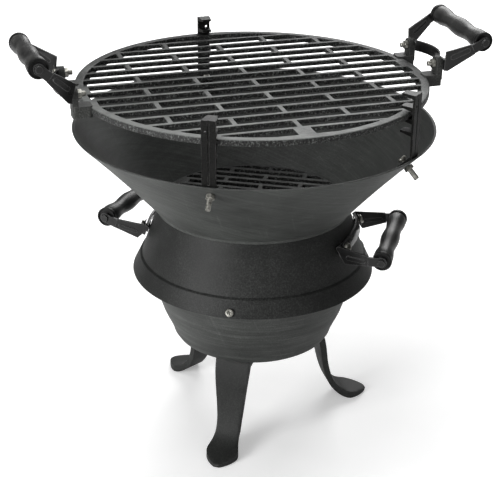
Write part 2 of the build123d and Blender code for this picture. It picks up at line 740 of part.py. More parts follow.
def pressed_bracket(flat_ears, arm_turn):
    """Strap and arms in one pressing, the arms turned up or down about the line of the bolts."""
    with BuildPart() as pressing:
        add(arched_strap(flat_ears).part)
        for side, one_arm in bracket_arms.items():
            with Locations(Location((0, 0, 0), (0, -arm_turn - side * ARM_TWIST, 0))):
                add(one_arm.part)
        with BuildSketch(Plane.YZ.offset(-1)):
            with Locations((-EAR_SPACING / 2, 0), (EAR_SPACING / 2, 0)):
                Circle(M5["radius"] + (0.35 if flat_ears else 1.4))
        extrude(amount=SHEET + 6, mode=Mode.SUBTRACT)
    return pressing


def grip_place(arm_turn):
    """The frame of a grip: local Y runs through the holes of both tongues."""
    ends = []
    for side in (-1, 1):
        angle = radians(arm_turn + side * ARM_TWIST)
        out = GRIP_OUT * cos(angle) - GRIP_UP * sin(angle)
        up = GRIP_UP * cos(angle) + GRIP_OUT * sin(angle)
        ends.append(Vector(out, side * (TONGUE_FACE + SHEET / 2), up))
    along = (ends[1] - ends[0]).normalized()
    lift = Vector(0, 0, 1) - along * along.Z
    normal = lift.normalized()
    return Plane(origin=(ends[0] + ends[1]) / 2, x_dir=along.cross(normal), z_dir=normal).location


with BuildPart() as grip:
    with BuildSketch(Plane.YX):
        with BuildLine():
            Line((-GRIP_HALF_LENGTH, ROD_RADIUS + ROD_PLAY), (-GRIP_HALF_LENGTH, GRIP_END_RADIUS - 0.6))
            Spline(
                (-GRIP_HALF_LENGTH, GRIP_END_RADIUS - 0.6),
                (-GRIP_HALF_LENGTH + 6, GRIP_END_RADIUS),
                (-GRIP_HALF_LENGTH * 0.52, GRIP_WAIST_RADIUS),
                (0, GRIP_MIDDLE_RADIUS),
                (GRIP_HALF_LENGTH * 0.52, GRIP_WAIST_RADIUS),
                (GRIP_HALF_LENGTH - 6, GRIP_END_RADIUS),
                (GRIP_HALF_LENGTH, GRIP_END_RADIUS - 0.6),
            )
            Line((GRIP_HALF_LENGTH, GRIP_END_RADIUS - 0.6), (GRIP_HALF_LENGTH, ROD_RADIUS + ROD_PLAY))
            Line((GRIP_HALF_LENGTH, ROD_RADIUS + ROD_PLAY), (-GRIP_HALF_LENGTH, ROD_RADIUS + ROD_PLAY))
        make_face()
    revolve(axis=Axis.Y)

with BuildPart() as grip_caps:
    for side in (-1, 1):
        with BuildSketch(Plane.XZ.offset(-side * GRIP_HALF_LENGTH)):
            Circle(CAP_RADIUS)
            Circle(ROD_RADIUS + ROD_PLAY, mode=Mode.SUBTRACT)
        extrude(amount=-side * CAP_LENGTH)
        with BuildSketch(Plane.XZ.offset(-side * (GRIP_HALF_LENGTH + CAP_LENGTH))):
            Circle(CAP_RADIUS - 1.6)
            Circle(ROD_RADIUS + 1.6, mode=Mode.SUBTRACT)
        extrude(amount=side * 1.4, mode=Mode.SUBTRACT)

with BuildPart() as rod:
    with BuildSketch(Plane.XZ.offset(TONGUE_FACE + SHEET + 0.3)):
        Circle(ROD_RADIUS)
    extrude(amount=-2 * (TONGUE_FACE + SHEET + 0.3))
    for side in (-1, 1):
        with BuildSketch(Plane.XZ.offset(-side * (TONGUE_FACE + SHEET + 0.3))):
            Circle(ROD_RADIUS + 1.1)
        extrude(amount=-side * 1.7, taper=22)


def handle_frame(angle, radius, height, lean=0.0, upside_down=False):
    """A handle's own frame: origin between the bolts, leaning back with the wall it is bolted to."""
    flip = Location((0, 0, 0), (180 if upside_down else 0, 0, 0))
    return around(angle) * Location((radius, 0, height), (0, -lean, 0)) * flip


handle_frames = {"grate": {}, "collar": {}}
for side, angle in (("right", 0), ("left", 180)):
    handle_frames["grate"][side] = GRATE_PLACE * handle_frame(angle, LUG_FACE, LUG_BOLT_HEIGHT)
for side, (angle, height) in COLLAR_HANDLES.items():
    handle_frames["collar"][side] = handle_frame(
        angle, ear_face(height), height, COLLAR_LEAN, upside_down=True
    )
for level, sides in handle_frames.items():
    for side, frame in sides.items():
        turn = ARM_TURNS[level][side]
        grip_frame = frame * grip_place(turn)
        save(placed(pressed_bracket(level == "grate", turn), frame), f"{level}_handle_bracket_{side}")
        save(placed(rod, grip_frame), f"{level}_grip_rod_{side}")
        save(placed(grip, grip_frame), f"{level}_grip_{side}")
        save(placed(grip_caps, grip_frame), f"{level}_grip_caps_{side}")
        middle = grip_frame.position
        beside = (grip_frame * Location((0, 1, 0))).position
        print("grip axis", level, side, middle, beside - middle)

# Handle fasteners: heads outside, nuts inside

outward_bolt = Location((0, 0, 0), (0, 90, 0))
grate_bolt = pan_bolt(M5, 16)
ear_places = [
    frame * Location((SHEET, side * EAR_SPACING / 2, 0)) * outward_bolt
    for frame in handle_frames["grate"].values()
    for side in (-1, 1)
]
behind_lug = Location((0, 0, -SHEET - 6.05), (180, 0, 0))
save(placed(grate_bolt, *ear_places), "grate_handle_bolts")
save(placed(hex_nut(M5), *[place * behind_lug for place in ear_places]), "grate_handle_nuts")

on_wall = Location((0, 0, 0.05))
on_strap = Location((0, 0, SPACER_HEIGHT + SHEET + 0.9))
head_side = on_strap * Location((0, 0, WASHER_HEIGHT))
under_wall = Location((0, 0, -COLLAR_WALL - 1.2), (180, 0, 0))
wall_spacer = washer(M5["radius"] + 0.15, 6.0, SPACER_HEIGHT - 0.8)
head_washer = washer(M5["radius"] + 0.15, 6.3, WASHER_HEIGHT)
save(placed(wall_spacer, *[place * on_wall for place in collar_bolt_places]), "collar_handle_spacers")
save(placed(head_washer, *[place * on_strap for place in collar_bolt_places]), "collar_handle_washers")
save(placed(pan_bolt(M5, 16), *[place * head_side for place in collar_bolt_places]), "collar_handle_bolts")
save(placed(hex_nut(M5), *[place * under_wall for place in collar_bolt_places]), "collar_handle_nuts")
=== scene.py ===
# %% [markdown]
# # A cast-iron charcoal grill
# The grill is a stack of sand castings: a round ash bowl on three legs, a collar, a cone that
# holds the fire, and a slotted grate on three toothed posts. Four turned grips sit in pressed
# brackets. The packed model gives every place and joint, so this script only dresses it.

# %% Load the frame
import json
import math

import bmesh
import bpy
from mathutils import Matrix, Vector, noise


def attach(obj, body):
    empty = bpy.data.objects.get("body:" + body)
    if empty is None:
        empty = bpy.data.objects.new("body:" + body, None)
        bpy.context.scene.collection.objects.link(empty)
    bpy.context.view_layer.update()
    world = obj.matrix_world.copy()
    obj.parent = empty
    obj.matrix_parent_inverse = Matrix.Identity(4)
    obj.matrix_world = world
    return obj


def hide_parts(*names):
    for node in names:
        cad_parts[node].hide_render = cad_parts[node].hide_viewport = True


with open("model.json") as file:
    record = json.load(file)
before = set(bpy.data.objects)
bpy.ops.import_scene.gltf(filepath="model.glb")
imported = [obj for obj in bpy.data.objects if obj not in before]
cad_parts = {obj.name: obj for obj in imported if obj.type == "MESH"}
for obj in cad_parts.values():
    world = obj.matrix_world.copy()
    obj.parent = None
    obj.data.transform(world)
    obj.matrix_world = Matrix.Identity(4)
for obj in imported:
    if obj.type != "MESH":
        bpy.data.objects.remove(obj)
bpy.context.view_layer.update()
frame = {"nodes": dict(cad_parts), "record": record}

MM = 0.001

# %% [markdown]
# ## The camera
# A camera is a place, a direction and a focal length. The view looks down at the grill from
# 24.5 degrees, with a long lens, so near and far rims have almost the same scale. The matrix is
# built from its three axes, because that also takes the small roll of the picture.

# %% Camera
AZIMUTH = math.radians(-17.75)
ELEVATION = math.radians(24.51)
ROLL = math.radians(-0.6)
AIM = Vector((0.0, 0.0, 0.2))
DISTANCE = 1.384
FOCAL_LENGTH = 95.4
SENSOR_WIDTH = 36.0
SHIFT = (-0.006, -0.001)

level_reach = math.cos(ELEVATION)
back = Vector((math.sin(AZIMUTH) * level_reach, -math.cos(AZIMUTH) * level_reach, math.sin(ELEVATION)))
level_right = Vector((math.cos(AZIMUTH), math.sin(AZIMUTH), 0.0))
level_up = back.cross(level_right)
right = level_right * math.cos(ROLL) - level_up * math.sin(ROLL)
up = level_right * math.sin(ROLL) + level_up * math.cos(ROLL)

camera = bpy.data.objects.new("camera", bpy.data.cameras.new("camera"))
camera.data.sensor_width = SENSOR_WIDTH
camera.data.lens = FOCAL_LENGTH
camera.data.shift_x, camera.data.shift_y = SHIFT
turn = Matrix((right, up, back)).transposed().to_4x4()
camera.matrix_world = Matrix.Translation(AIM + back * DISTANCE) @ turn
bpy.context.scene.collection.objects.link(camera)
bpy.context.scene.camera = camera
print("camera at", tuple(round(c, 3) for c in camera.location))

# %% [markdown]
# ## Light and floor
# Dark iron shows its form by broad soft highlights, so the lamps are large: a low key at the left,
# a faint fill in front, a wide lamp overhead and one behind that draws the rims. The world is
# white to the camera and dim to the iron. The floor is white paper and keeps the shadow.

# %% Lamps
scene = bpy.context.scene
scene.view_settings.view_transform = "Standard"


def soft_lamp(name, place, target, width, watts):
    """A square area lamp at a place, turned to a target."""
    lamp = bpy.data.objects.new(name, bpy.data.lights.new(name, "AREA"))
    lamp.data.size = width
    lamp.data.energy = watts
    lamp.location = place
    lamp.rotation_mode = "QUATERNION"
    lamp.rotation_quaternion = (Vector(target) - Vector(place)).to_track_quat("-Z", "Y")
    scene.collection.objects.link(lamp)
    print(name, watts, "W")


soft_lamp("key_lamp", (-2.1, -0.9, 0.8), (0, 0, 0.22), 1.0, 46)
soft_lamp("fill_lamp", (0.5, -2.2, 0.9), (0, 0, 0.2), 1.4, 5)
soft_lamp("top_lamp", (-0.3, 0.2, 2.2), (0, 0, 0.2), 1.5, 24)
soft_lamp("back_lamp", (0.9, 1.6, 1.35), (0, -0.1, 0.3), 1.1, 22)

# %% World
WORLD_LIGHT = 0.17
WORLD_SEEN = 1.0
world = bpy.data.worlds.new("studio")
scene.world = world
world.use_nodes = True
world_nodes = world.node_tree.nodes
world_links = world.node_tree.links
sky = world_nodes["Background"]
light_path = world_nodes.new("ShaderNodeLightPath")
strength = world_nodes.new("ShaderNodeMapRange")
strength.inputs["To Min"].default_value = WORLD_LIGHT
strength.inputs["To Max"].default_value = WORLD_SEEN
world_links.new(light_path.outputs["Is Camera Ray"], strength.inputs["Value"])
world_links.new(strength.outputs["Result"], sky.inputs["Strength"])
sky.inputs["Color"].default_value = (1, 1, 1, 1)
print("world", WORLD_SEEN, "to the camera,", WORLD_LIGHT, "as light")

# %% Floor
FLOOR_RADIUS = 7.0
FLOOR_DROP = 0.0005
floor_mesh = bpy.data.meshes.new("floor")
ring = bmesh.new()
bmesh.ops.create_circle(ring, cap_ends=True, segments=96, radius=FLOOR_RADIUS)
ring.to_mesh(floor_mesh)
ring.free()
floor = bpy.data.objects.new("floor", floor_mesh)
floor.location.z = -FLOOR_DROP
scene.collection.objects.link(floor)
print("floor", 2 * FLOOR_RADIUS, "m across")

# %% [markdown]
# ## Materials
# Every finish is built from noise in the object's own space. The noise drives colour, roughness
# and a bump together, because on real iron the same pits and grains do all three.

# %% Small helpers for shader nodes


class Finish:
    """One material with its node tree, and short calls for the nodes it needs."""

    def __init__(self, name, **fixed):
        self.material = bpy.data.materials.new(name)
        self.material.use_nodes = True
        self.nodes = self.material.node_tree.nodes
        self.links = self.material.node_tree.links
        self.shader = self.nodes["Principled BSDF"]
        self.space = self.nodes.new("ShaderNodeTexCoord").outputs["Object"]
        for socket, value in fixed.items():
            self.shader.inputs[socket.replace("_", " ")].default_value = value

    def math(self, operation, first, second=None):
        """A sum, product or difference of sockets and numbers."""
        node = self.nodes.new("ShaderNodeMath")
        node.operation = operation
        for socket, value in zip(node.inputs, (first, second)):
            self.plug(value, socket)
        return node.outputs[0]

    def plug(self, value, socket):
        """Links a socket to another, or sets its value."""
        if value is None:
            return
        if isinstance(value, bpy.types.NodeSocket):
            self.links.new(value, socket)
        else:
            socket.default_value = value

    def noise(self, scale, detail=4.0, rough=0.55, vector=None):
        """Noise in the object's space, or in another vector's."""
        node = self.nodes.new("ShaderNodeTexNoise")
        node.inputs["Scale"].default_value = scale
        node.inputs["Detail"].default_value = detail
        node.inputs["Roughness"].default_value = rough
        self.links.new(vector or self.space, node.inputs["Vector"])
        return node.outputs["Fac"]

    def ramp(self, value, *stops):
        """A colour ramp with stops of (place, grey or colour)."""
        node = self.nodes.new("ShaderNodeValToRGB")
        elements = node.color_ramp.elements
        while len(elements) < len(stops):
            elements.new(0.5)
        for element, (place, colour) in zip(elements, stops):
            element.position = place
            shade = colour if isinstance(colour, tuple) else (colour, colour, colour)
            element.color = (*shade, 1)
        self.links.new(value, node.inputs["Fac"])
        return node.outputs["Color"]

    def blend(self, factor, first, second, mode="MIX"):
        """One colour mixed or multiplied into another."""
        node = self.nodes.new("ShaderNodeMix")
        node.data_type = "RGBA"
        node.blend_type = mode
        self.plug(factor, node.inputs[0])
        for value, socket in ((first, node.inputs[6]), (second, node.inputs[7])):
            self.plug((*value, 1) if isinstance(value, tuple) else value, socket)
        return node.outputs[2]

    def bumps(self, *layers):
        """Stacked bump nodes: (height, strength, distance in metres)."""
        normal = None
        for height, strength, distance in layers:
            node = self.nodes.new("ShaderNodeBump")
            node.inputs["Strength"].default_value = strength
            node.inputs["Distance"].default_value = distance
            self.links.new(height, node.inputs["Height"])
            if normal:
                self.links.new(normal, node.inputs["Normal"])
            normal = node.outputs["Normal"]
        self.links.new(normal, self.shader.inputs["Normal"])

    def streak_space(self, stretch=0.05, slant=0.0):
        """Space squeezed level, so that noise in it runs round a casting as turning marks do."""
        split = self.nodes.new("ShaderNodeSeparateXYZ")
        self.links.new(self.space, split.inputs[0])
        x, y, z = split.outputs
        join = self.nodes.new("ShaderNodeCombineXYZ")
        self.plug(self.math("MULTIPLY", x, stretch), join.inputs[0])
        self.plug(self.math("MULTIPLY", y, stretch), join.inputs[1])
        self.plug(self.math("ADD", z, self.math("MULTIPLY", x, slant)), join.inputs[2])
        return join.outputs[0]

    def facing_axis(self):
        """From 0 on a wall that faces outwards to 1 on one that faces the axis."""
        level = self.nodes.new("ShaderNodeVectorMath")
        level.operation = "MULTIPLY"
        level.inputs[1].default_value = (1, 1, 0)
        self.links.new(self.space, level.inputs[0])
        outward = self.nodes.new("ShaderNodeVectorMath")
        outward.operation = "NORMALIZE"
        self.links.new(level.outputs[0], outward.inputs[0])
        dot = self.nodes.new("ShaderNodeVectorMath")
        dot.operation = "DOT_PRODUCT"
        self.links.new(outward.outputs[0], dot.inputs[0])
        self.links.new(self.nodes.new("ShaderNodeNewGeometry").outputs["Normal"], dot.inputs[1])
        return self.math("SUBTRACT", 0.5, self.math("MULTIPLY", dot.outputs["Value"], 0.5))

    def sharp_edge_mask(self, radius=0.0009):
        """White where an edge is sharp, from the difference between true and rounded normals."""
        bevel = self.nodes.new("ShaderNodeBevel")
        bevel.inputs["Radius"].default_value = radius
        geometry = self.nodes.new("ShaderNodeNewGeometry")
        dot = self.nodes.new("ShaderNodeVectorMath")
        dot.operation = "DOT_PRODUCT"
        self.links.new(bevel.outputs[0], dot.inputs[0])
        self.links.new(geometry.outputs["Normal"], dot.inputs[1])
        return self.math("SUBTRACT", 1.0, dot.outputs["Value"])

    def set(self, **values):
        """Sockets of the shader by name, with _ for a space."""
        for socket, value in values.items():
            self.plug(value, self.shader.inputs[socket.replace("_", " ")])


print("shader helpers", [name for name in vars(Finish) if not name.startswith("_")])

# %% [markdown]
# ## Cast iron
# Sand leaves a grain, the turning of the pattern leaves fine rings, and the edges are painted pale,
# partly as wear from handling and partly as a painted highlight. Cone, collar, ash bowl and legs
# came out of different moulds and were dressed in different ways, so one recipe takes their shades
# and the strength of each mark. Painted shade darkens the cone's walls that face the axis, and a
# painted highlight makes the grate's bar tops pale, most towards the front left.

# %% Grey sand-cast iron


def cast_iron(name, dark, light, marks, slant, grit, edge=0.14, painted_inner_shade=0.0):
    """Grey iron between two shades: marks are turning streaks, grit is the sand's grain, edge is the grey of
    the pale edges, and the last value paints shade on walls that face the axis.
    """
    iron = Finish(name, Specular_IOR_Level=0.3)
    streaks = iron.noise(520, detail=5, rough=0.72, vector=iron.streak_space(0.03, slant))
    level = iron.noise(260, detail=4, rough=0.65, vector=iron.streak_space(0.05, -slant / 3))
    cloud = iron.noise(10, detail=6, rough=0.62)
    sand = iron.noise(620, detail=5, rough=0.8)
    scratch = iron.noise(170, detail=2, rough=0.5, vector=iron.streak_space(0.12, 2.2))
    base = iron.ramp(cloud, (0.34, dark), (0.68, light))
    base = iron.blend(marks, base, iron.ramp(streaks, (0.36, 0.5), (0.52, 1.0), (0.66, 1.8)), "MULTIPLY")
    base = iron.blend(marks * 0.6, base, iron.ramp(level, (0.35, 0.6), (0.65, 1.5)), "MULTIPLY")
    base = iron.blend(grit, base, iron.ramp(sand, (0.40, 0.35), (0.52, 1.0), (0.68, 2.4)), "MULTIPLY")
    base = iron.blend(0.35, base, iron.ramp(scratch, (0.66, 1.0), (0.72, 1.8)), "MULTIPLY")
    # Painted shade: walls that face the axis are darkened towards black, as the inside of the bowl lies in
    # shade.
    if painted_inner_shade:
        inner_shade_mask = iron.ramp(iron.facing_axis(), (0.35, 0.0), (0.6, 1.0))
        base = iron.blend(iron.math("MULTIPLY", inner_shade_mask, painted_inner_shade), base, (0.004, 0.004, 0.004))
    # Pale edges: partly wear from handling, partly a painted highlight.
    scuff_and_highlight = iron.ramp(iron.sharp_edge_mask(0.0012), (0.02, 0.0), (0.2, 1.0))
    base = iron.blend(iron.math("MULTIPLY", scuff_and_highlight, 0.55), base, (edge, edge, edge))
    iron.set(Base_Color=base, Roughness=iron.ramp(sand, (0.3, 0.48), (0.7, 0.66)))
    iron.bumps((sand, 0.2 + grit * 0.4, 0.0003), (streaks, marks * 0.3, 0.0003), (cloud, 0.2, 0.002))
    return iron.material


# The cone's last value is the strength of the painted shade inside the bowl.
CONE_IRON = cast_iron("cone_iron", (0.032, 0.034, 0.032), (0.062, 0.066, 0.062), 0.4, 0.35, 0.35, painted_inner_shade=0.25)
COLLAR_IRON = cast_iron("collar_iron", (0.005, 0.0055, 0.005), (0.024, 0.025, 0.024), 0.12, 0.5, 0.95, 0.02)
ASH_IRON = cast_iron("ash_iron", (0.033, 0.035, 0.033), (0.058, 0.061, 0.058), 0.5, 0.04, 0.35, 0.2)
LEG_IRON = cast_iron("leg_iron", (0.011, 0.0115, 0.011), (0.028, 0.0295, 0.028), 0.05, 0.1, 0.6, 0.06)
LUG_IRON = cast_iron("lug_iron", (0.008, 0.008, 0.008), (0.060, 0.062, 0.058), 0.05, 0.1, 0.8, 0.12)
print("cast irons", [iron.name for iron in (CONE_IRON, COLLAR_IRON, ASH_IRON, LEG_IRON, LUG_IRON)])

# %% Scoured grate iron


def grate_iron():
    """Rough iron: a painted highlight makes the bar tops pale, most towards the front left; the walls are
    dark and speckled, their darkness a painted shade.
    """
    iron = Finish("grate_iron", Specular_IOR_Level=0.3)
    grain = iron.noise(520, detail=5, rough=0.8)
    lumps = iron.noise(260, detail=3, rough=0.6)
    cloud = iron.noise(34, detail=6, rough=0.7)
    geometry = iron.nodes.new("ShaderNodeNewGeometry")
    facing = iron.nodes.new("ShaderNodeSeparateXYZ")
    iron.links.new(geometry.outputs["Normal"], facing.inputs[0])
    place = iron.nodes.new("ShaderNodeSeparateXYZ")
    iron.links.new(iron.space, place.inputs[0])
    # Painted light and shade: faces that look up take the pale top colour, the walls the dark one.
    top = iron.ramp(facing.outputs["Z"], (0.55, 0.0), (0.95, 1.0))
    wall = iron.ramp(
        grain, (0.42, (0.002, 0.002, 0.002)), (0.54, (0.024, 0.025, 0.024)), (0.64, (0.16, 0.166, 0.16))
    )
    # Painted highlight: the tops grow paler towards the front left and darker towards the back.
    across = iron.math("MULTIPLY", place.outputs["X"], -1.6)
    painted_front_light = iron.math("ADD", iron.math("MULTIPLY", place.outputs["Y"], -2.8), across)
    painted_front_light = iron.math("ADD", painted_front_light, 0.42)
    painted_top_light = iron.math("ADD", painted_front_light, iron.math("MULTIPLY", iron.math("SUBTRACT", cloud, 0.5), 1.6))
    face = iron.ramp(
        painted_top_light, (0.0, (0.006, 0.006, 0.006)), (0.4, (0.034, 0.036, 0.034)), (1.0, (0.16, 0.167, 0.16))
    )
    face = iron.blend(0.45, face, iron.ramp(grain, (0.35, 0.5), (0.65, 1.6)), "MULTIPLY")
    iron.set(Base_Color=iron.blend(top, wall, face), Roughness=iron.ramp(grain, (0.35, 0.42), (0.7, 0.7)))
    iron.bumps((grain, 0.5, 0.0005), (lumps, 0.35, 0.0008))
    return iron.material


GRATE_IRON = grate_iron()
print("grate iron", len(GRATE_IRON.node_tree.nodes), "nodes")

# %% [markdown]
# ## Paint, steel, lacquer, plastic and zinc
# The small pieces are nearly black. What tells them apart is the gloss: dull paint on the posts,
# a glossy dip coat on the pressed brackets, whose edges carry a painted highlight, fibres under
# lacquer on the turned grips, matte caps, and clouded zinc on the screws and nuts. The pale edges of
# the posts are partly rubbed paint and partly a painted highlight.

# %% Painted posts


def painted_iron():
    """Near-black painted casting of the height posts, pale in patches on its edges: rubbed paint and a
    painted highlight.
    """
    iron = Finish("painted_iron", Specular_IOR_Level=0.1)
    grain = iron.noise(700, detail=4, rough=0.7)
    scuff_and_highlight = iron.ramp(iron.sharp_edge_mask(0.0007), (0.02, 0.0), (0.2, 1.0))
    base = iron.ramp(grain, (0.35, (0.003, 0.003, 0.003)), (0.7, (0.013, 0.013, 0.012)))
    # Pale patches on the edges: partly rubbed paint, partly a painted highlight.
    patchy_scuff_and_highlight = iron.math("MULTIPLY", scuff_and_highlight, iron.ramp(iron.noise(180), (0.45, 0.0), (0.65, 1.0)))
    base = iron.blend(patchy_scuff_and_highlight, base, (0.16, 0.16, 0.155))
    iron.set(Base_Color=base, Roughness=iron.ramp(grain, (0.3, 0.28), (0.7, 0.5)))
    iron.bumps((grain, 0.3, 0.0004))
    return iron.material


PAINTED_IRON = painted_iron()
print("painted iron", len(PAINTED_IRON.node_tree.nodes), "nodes")

# %% Pressed brackets


def bracket_steel():
    """Pressed steel with a satin black coat: smooth, with faint orange peel and a painted highlight on its
    edges.
    """
    steel = Finish("bracket_steel", Specular_IOR_Level=0.2, Coat_Weight=0.45, Coat_Roughness=0.12)
    peel = steel.noise(500, detail=2)
    smudge = steel.noise(60, detail=4)
    scuff_and_highlight = steel.ramp(steel.sharp_edge_mask(0.0011), (0.01, 0.0), (0.14, 1.0))
    base = steel.ramp(smudge, (0.3, (0.003, 0.003, 0.003)), (0.7, (0.010, 0.010, 0.010)))
    # Painted highlight: the sharp edges are mixed towards pale grey.
    base = steel.blend(steel.math("MULTIPLY", scuff_and_highlight, 0.6), base, (0.13, 0.13, 0.13))
    steel.set(Base_Color=base, Roughness=steel.ramp(smudge, (0.3, 0.24), (0.7, 0.42)))
    steel.bumps((peel, 0.12, 0.0003))
    return steel.material


BRACKET_STEEL = bracket_steel()
print("bracket steel", len(BRACKET_STEEL.node_tree.nodes), "nodes")

# %% Turned grips


def lacquered_wood():
    """Black lacquer over a turned grip: soft sheen, long fibres and rubbed high spots."""
    wood = Finish("lacquered_wood", Specular_IOR_Level=0.35, Coat_Weight=0.12, Coat_Roughness=0.35)
    mapping = wood.nodes.new("ShaderNodeMapping")
    mapping.inputs["Scale"].default_value = (1.0, 0.06, 1.0)
    wood.links.new(wood.space, mapping.inputs["Vector"])
    fibre = wood.noise(700, detail=5, rough=0.65, vector=mapping.outputs[0])
    patch = wood.noise(70, detail=4, rough=0.6)
    base = wood.ramp(
        patch, (0.35, (0.006, 0.006, 0.006)), (0.55, (0.026, 0.026, 0.025)), (0.72, (0.070, 0.070, 0.067))
    )
    base = wood.blend(0.5, base, wood.ramp(fibre, (0.35, 0.55), (0.65, 1.5)), "MULTIPLY")
    wood.set(Base_Color=base, Roughness=wood.ramp(patch, (0.3, 0.36), (0.7, 0.55)))
    wood.bumps((fibre, 0.2, 0.0003))
    return wood.material


LACQUERED_WOOD = lacquered_wood()
print("lacquered wood", len(LACQUERED_WOOD.node_tree.nodes), "nodes")

# %% Grip caps


def cap_plastic():
    """Matte black moulded caps with a fine grain."""
    cap = Finish("cap_plastic", Specular_IOR_Level=0.25)
    grain = cap.noise(1200, detail=2)
    base = cap.ramp(grain, (0.3, (0.003, 0.003, 0.003)), (0.7, (0.011, 0.011, 0.011)))
    cap.set(Base_Color=base, Roughness=cap.ramp(grain, (0.3, 0.35), (0.7, 0.5)))
    cap.bumps((grain, 0.15, 0.0002))
    return cap.material


CAP_PLASTIC = cap_plastic()
print("cap plastic", len(CAP_PLASTIC.node_tree.nodes), "nodes")

# %% Zinc fasteners


def zinc_plate():
    """Bright zinc on small fasteners, slightly warm, clouded by handling."""
    zinc = Finish("zinc_plate", Metallic=1.0)
    cloud = zinc.noise(260, detail=4)
    fine = zinc.noise(1500, detail=2)
    base = zinc.ramp(cloud, (0.35, (0.14, 0.14, 0.125)), (0.65, (0.48, 0.47, 0.43)))
    zinc.set(Base_Color=base, Roughness=zinc.ramp(fine, (0.3, 0.34), (0.7, 0.52)))
    zinc.bumps((fine, 0.1, 0.0002))
    return zinc.material


ZINC_PLATE = zinc_plate()
print("zinc plate", len(ZINC_PLATE.node_tree.nodes), "nodes")

# %% [markdown]
# ## Floor paper
# Near the grill the paper is lit by the lamps alone, so the shadow shows. Further out it glows a
# little to the camera, so that it fades into the white world without a horizon.

# %% Floor paper


def floor_paper():
    """White paper floor: pale in every view, and it keeps the shadow."""
    paper = Finish("floor_paper", Roughness=0.9)
    speck = paper.noise(30, detail=3)
    paper.set(Base_Color=paper.ramp(speck, (0.3, 0.93), (0.7, 0.96)))
    path = paper.nodes.new("ShaderNodeLightPath")
    paper.set(Emission_Color=(1, 1, 1, 1))
    distance = paper.nodes.new("ShaderNodeVectorMath")
    distance.operation = "LENGTH"
    paper.links.new(paper.space, distance.inputs[0])
    away = paper.ramp(paper.math("MULTIPLY", distance.outputs["Value"], 0.2), (0.06, 0.3), (0.4, 0.9))
    paper.set(Emission_Strength=paper.math("MULTIPLY", path.outputs["Is Camera Ray"], away))
    return paper.material


floor.data.materials.append(floor_paper())
print("materials", len(bpy.data.materials))

# %% [markdown]
# ## Turned castings
# The fire bowl, collar and ash bowl come out of sand moulds whose patterns were turned on a
# lathe. A section with small arcs at its corners is swung round the axis, and a slow noise then
# moves the wall by a few tenths of a millimetre, because no sand casting is truly round.

# %% Sections
BLUNT = math.radians(160)


def rounded(points, radius, steps=4):
    """A closed outline in which every real corner has become a small arc."""
    outline = []
    for index, corner in enumerate(points):
        corner = Vector(corner)
        before = Vector(points[index - 1]) - corner
        after = Vector(points[(index + 1) % len(points)]) - corner
        opening = before.angle(after)
        if opening > BLUNT:
            outline.append(corner)
            continue
        reach = min(radius / math.tan(opening / 2), before.length * 0.45, after.length * 0.45)
        start = corner + before.normalized() * reach
        end = corner + after.normalized() * reach
        for step in range(steps + 1):
            share = step / steps
            outline.append(start * (1 - share) ** 2 + corner * 2 * share * (1 - share) + end * share**2)
    return outline


def filled_in(outline, step):
    """The outline with extra points wherever two neighbours stand further apart than a step."""
    points = []
    for index, point in enumerate(outline):
        following = outline[(index + 1) % len(outline)]
        count = max(1, math.ceil((following - point).length / step))
        points += [point.lerp(following, part / count) for part in range(count)]
    return points


def flare(low, high, bow, count=10):
    """Points up a wall that flares between two (radius, height) points."""
    line = []
    for step in range(count + 1):
        share = step / count
        radius = low[0] + (high[0] - low[0]) * share - 4 * bow * share * (1 - share)
        line.append((radius, low[1] + (high[1] - low[1]) * share))
    return line


square = [(0, 0), (10, 0), (10, 10), (0, 10)]
print("a square with round corners has", len(rounded(square, 1.0)), "points")

# %% Sweeps
SLOW_WAVES = 28
SHORT_WAVES = 90
SECTION_STEP = 5.0


def swing(mesh, outline, turns=240):
    """Adds the surface that a (radius, height) outline in mm sweeps round the axis."""
    rings = []
    for step in range(turns):
        angle = 2 * math.pi * step / turns
        cosine, sine = math.cos(angle) * MM, math.sin(angle) * MM
        points = [(radius * cosine, radius * sine, height * MM) for radius, height in outline]
        rings.append([mesh.verts.new(point) for point in points])
    for step, ring in enumerate(rings):
        following = rings[(step + 1) % turns]
        for index in range(len(outline)):
            after = (index + 1) % len(outline)
            mesh.faces.new((ring[index], ring[after], following[after], following[index]))


def uneven(mesh, amount):
    """Moves a casting's wall inwards by up to twice an amount in mm, by slow noise."""
    for vertex in mesh.verts:
        outward = Vector((vertex.co.x, vertex.co.y, 0))
        if outward.length > 0.02:
            shift = noise.noise(vertex.co * SLOW_WAVES) + 0.5 * noise.noise(vertex.co * SHORT_WAVES) - 1
            vertex.co += outward.normalized() * shift * amount * MM


wheel = bmesh.new()
swing(wheel, [(5, 0), (10, 0), (10, 5)])
print("a small wheel has", len(wheel.faces), "faces")
wheel.free()

# %% Hang a piece on its CAD node
REBUILT = {}


def finish_piece(name, mesh, material, node, body, place=None):
    """Turns a bmesh into a named piece that stands for a CAD node and rides its body."""
    bmesh.ops.remove_doubles(mesh, verts=mesh.verts, dist=1e-6)
    bmesh.ops.recalc_face_normals(mesh, faces=mesh.faces)
    for face in mesh.faces:
        face.smooth = True
    data = bpy.data.meshes.new(name)
    mesh.to_mesh(data)
    mesh.free()
    data.materials.append(material)
    piece = bpy.data.objects.new(name, data)
    if place:
        data.transform(place)
    scene.collection.objects.link(piece)
    even = piece.modifiers.new("even_normals", "WEIGHTED_NORMAL")
    even.keep_sharp = True
    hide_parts(node)
    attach(piece, body)
    REBUILT[node] = piece
    return piece


def turned_casting(name, outline, material, node, body, unevenness=0.12):
    """A casting swung from its section, with a slightly uneven wall."""
    mesh = bmesh.new()
    swing(mesh, filled_in(outline, SECTION_STEP))
    uneven(mesh, unevenness)
    piece = finish_piece(name, mesh, material, node, body)
    print(name, len(piece.data.vertices), "points")


